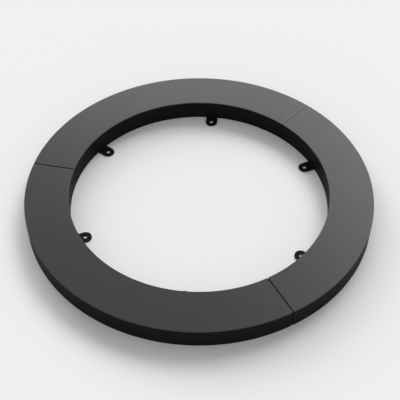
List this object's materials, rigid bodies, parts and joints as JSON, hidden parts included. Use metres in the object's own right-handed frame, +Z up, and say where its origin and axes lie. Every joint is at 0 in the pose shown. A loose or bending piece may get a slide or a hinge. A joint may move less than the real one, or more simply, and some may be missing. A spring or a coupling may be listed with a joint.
{
  "type": "tree ring edging",
  "caption": "Flat dark grey ring edging of coated sheet steel in lapped segments with inner and outer rims; it lies round a tree and parts the planting pit from the lawn.",
  "frame": {"origin": "on the ring's axis at ground level, under the foot of the rims", "axes": "+Z up along the ring's axis; -Y points to the middle of the closing segment, which lies over both its neighbours"},
  "size_m": [0.9999, 1, 0.06],
  "materials": {
    "powder_coat": "satin fine-texture powder coat, anthracite",
    "zinc_plate": "bright zinc plating"
  },
  "bodies": {
    "root": {"closing_first_lap_plate": "powder_coat", "closing_segment_anchor_lug_1": "powder_coat", "closing_segment_anchor_lug_2": "powder_coat", "closing_segment_inner_rim": "powder_coat", "closing_segment_outer_rim": "powder_coat", "closing_segment_rib_1": "powder_coat", "closing_segment_rib_2": "powder_coat", "closing_segment_top_plate": "powder_coat", "first_second_lap_plate": "powder_coat", "first_segment_anchor_lug_1": "powder_coat", "first_segment_anchor_lug_2": "powder_coat", "first_segment_inner_rim": "powder_coat", "first_segment_outer_rim": "powder_coat", "first_segment_rib_1": "powder_coat", "first_segment_rib_2": "powder_coat", "first_segment_top_plate": "powder_coat", "lap_nuts": "zinc_plate", "lap_washers": "zinc_plate", "lap_weld_studs": "zinc_plate", "second_closing_lap_plate": "powder_coat", "second_segment_anchor_lug_1": "powder_coat", "second_segment_anchor_lug_2": "powder_coat", "second_segment_inner_rim": "powder_coat", "second_segment_outer_rim": "powder_coat", "second_segment_rib_1": "powder_coat", "second_segment_rib_2": "powder_coat", "second_segment_top_plate": "powder_coat"}
  },
  "joints": []
}
